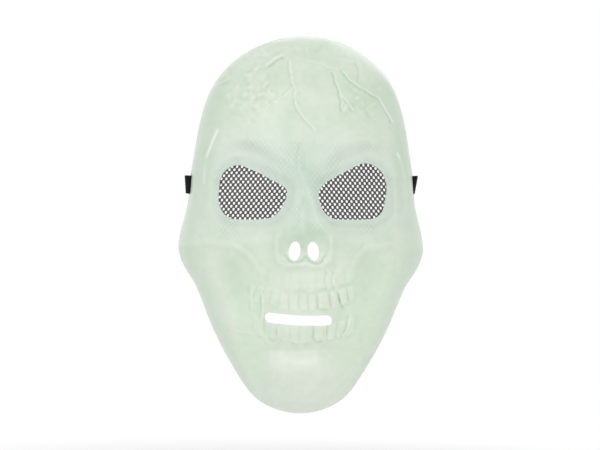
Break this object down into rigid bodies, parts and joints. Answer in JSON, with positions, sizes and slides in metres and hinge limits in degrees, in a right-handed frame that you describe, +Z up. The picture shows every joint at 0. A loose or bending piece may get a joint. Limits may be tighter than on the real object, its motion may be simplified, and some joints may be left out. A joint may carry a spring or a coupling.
{
  "type": "skull face mask",
  "caption": "Thin formed plastic skull face mask with perforated eye screens, open nostrils and mouth slot, and an elastic head strap that swings behind it.",
  "frame": {"origin": "middle of the head opening, in the plane of the rim and level with the strap slots", "axes": "+Z up from chin to crown, -Y the way the face looks, +Y out of the back where the head enters, +X to the viewer's right"},
  "size_m": [0.163, 0.1078, 0.251],
  "materials": {
    "shell_plastic": "thin milky translucent pale green sheet, glossy, slightly wavy from forming",
    "screen_plastic": "dark grey perforated sheet, satin",
    "hot_glue": "cloudy hot-melt glue, soft gloss",
    "elastic": "black woven elastic with lengthwise ribs",
    "thread": "black sewing thread"
  },
  "bodies": {
    "mask": {"mask_shell": "shell_plastic", "eye_screen_left": "screen_plastic", "eye_screen_right": "screen_plastic", "screen_glue_left": "hot_glue", "screen_glue_right": "hot_glue", "strap_end_left": "elastic", "strap_end_right": "elastic", "strap_stitch_left": "thread", "strap_stitch_right": "thread"},
    "strap": {"strap_band": "elastic"}
  },
  "joints": [
    {"name": "strap_swing", "type": "hinge", "parent": "mask", "child": "strap", "pos_m": [0, 0.0185, -0.003], "axis": [1, 0, 0], "range_deg": [-20, 120]}
  ]
}
